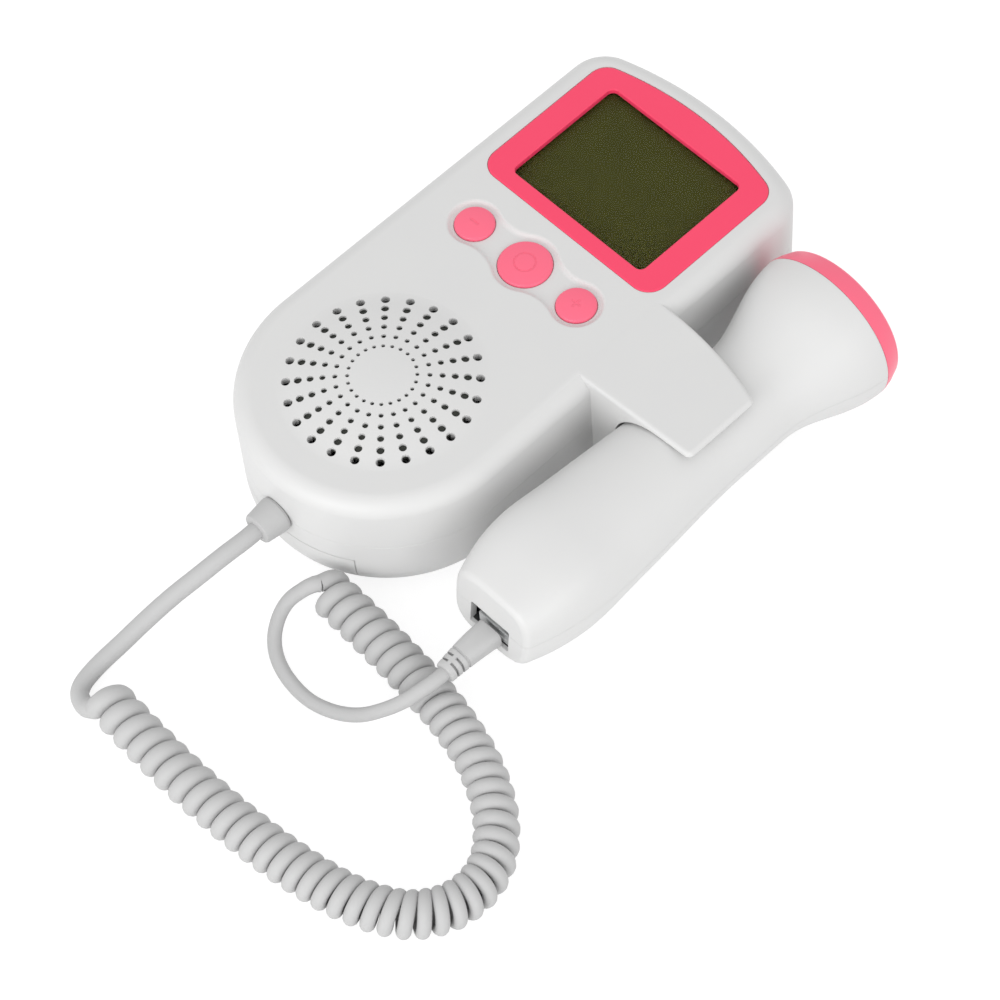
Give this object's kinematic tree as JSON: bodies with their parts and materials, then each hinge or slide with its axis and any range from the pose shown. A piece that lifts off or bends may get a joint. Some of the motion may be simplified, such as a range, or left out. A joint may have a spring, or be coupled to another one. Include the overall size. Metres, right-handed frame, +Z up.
{
  "type": "fetal doppler monitor",
  "caption": "Hand-held heartbeat monitor with a display, a perforated loudspeaker dome, push buttons, a probe clipped to its side and a curly lead.",
  "frame": {"origin": "on the rest plane, under the middle of the case and its clipped probe, without the lead", "axes": "+X towards the probe, +Y from the loudspeaker to the display, +Z up out of the face"},
  "size_m": [0.1314, 0.1997, 0.0386],
  "materials": {
    "case": "satin",
    "pink_trim": "glossy",
    "pink_keys": "glossy",
    "cord": "satin",
    "window": "clear",
    "display": "satin",
    "white_inner": "satin",
    "steel": "satin",
    "board": "satin",
    "soft_rubber": "matt",
    "cone": "matt",
    "cell": "glossy",
    "plug": "clear",
    "face": "satin",
    "ceramic": "satin"
  },
  "bodies": {
    "unit": {"front_cover": "case", "rear_cover": "case", "display_bezel": "pink_trim", "display_window": "window", "display_panel": "display", "display_frame": "white_inner", "zebra_strip": "soft_rubber", "main_board": "board", "board_screws": "steel", "keypad_mat": "soft_rubber", "speaker_frame": "steel", "speaker_cone": "cone", "speaker_magnet": "steel", "battery_left": "cell", "battery_right": "cell", "battery_contacts": "steel", "battery_springs": "steel", "case_screws": "steel", "strain_relief": "cord", "cord_lead_body": "cord", "cord_coil": "cord", "cord_lead_probe": "cord"},
    "volume_down": {"volume_down_button": "pink_keys"},
    "power": {"power_button": "pink_keys"},
    "volume_up": {"volume_up_button": "pink_keys"},
    "door": {"battery_door": "case"},
    "probe": {"probe_upper_shell": "case", "probe_lower_shell": "case", "probe_ring": "pink_trim", "probe_face": "face", "transducer_holder": "white_inner", "transducer_elements": "ceramic", "probe_board": "board", "probe_jack": "cone", "plug_boot": "cord", "plug_body": "plug", "plug_latch": "plug"}
  },
  "joints": [
    {"name": "volume_down_press", "type": "slide", "parent": "unit", "child": "volume_down", "axis": [0, 0, -1], "range_m": [0, 0.0008], "stiffness_N_per_m": 1500},
    {"name": "power_press", "type": "slide", "parent": "unit", "child": "power", "axis": [0, 0, -1], "range_m": [0, 0.0008], "stiffness_N_per_m": 1500},
    {"name": "volume_up_press", "type": "slide", "parent": "unit", "child": "volume_up", "axis": [0, 0, -1], "range_m": [0, 0.0008], "stiffness_N_per_m": 1500},
    {"name": "battery_door_off", "type": "slide", "parent": "unit", "child": "door", "axis": [0, 0, -1], "range_m": [0, 0.025]},
    {"name": "probe_out", "type": "slide", "parent": "unit", "child": "probe", "axis": [1, 0, 0], "range_m": [0, 0.045], "deforming": ["cord_lead_probe"]}
  ]
}
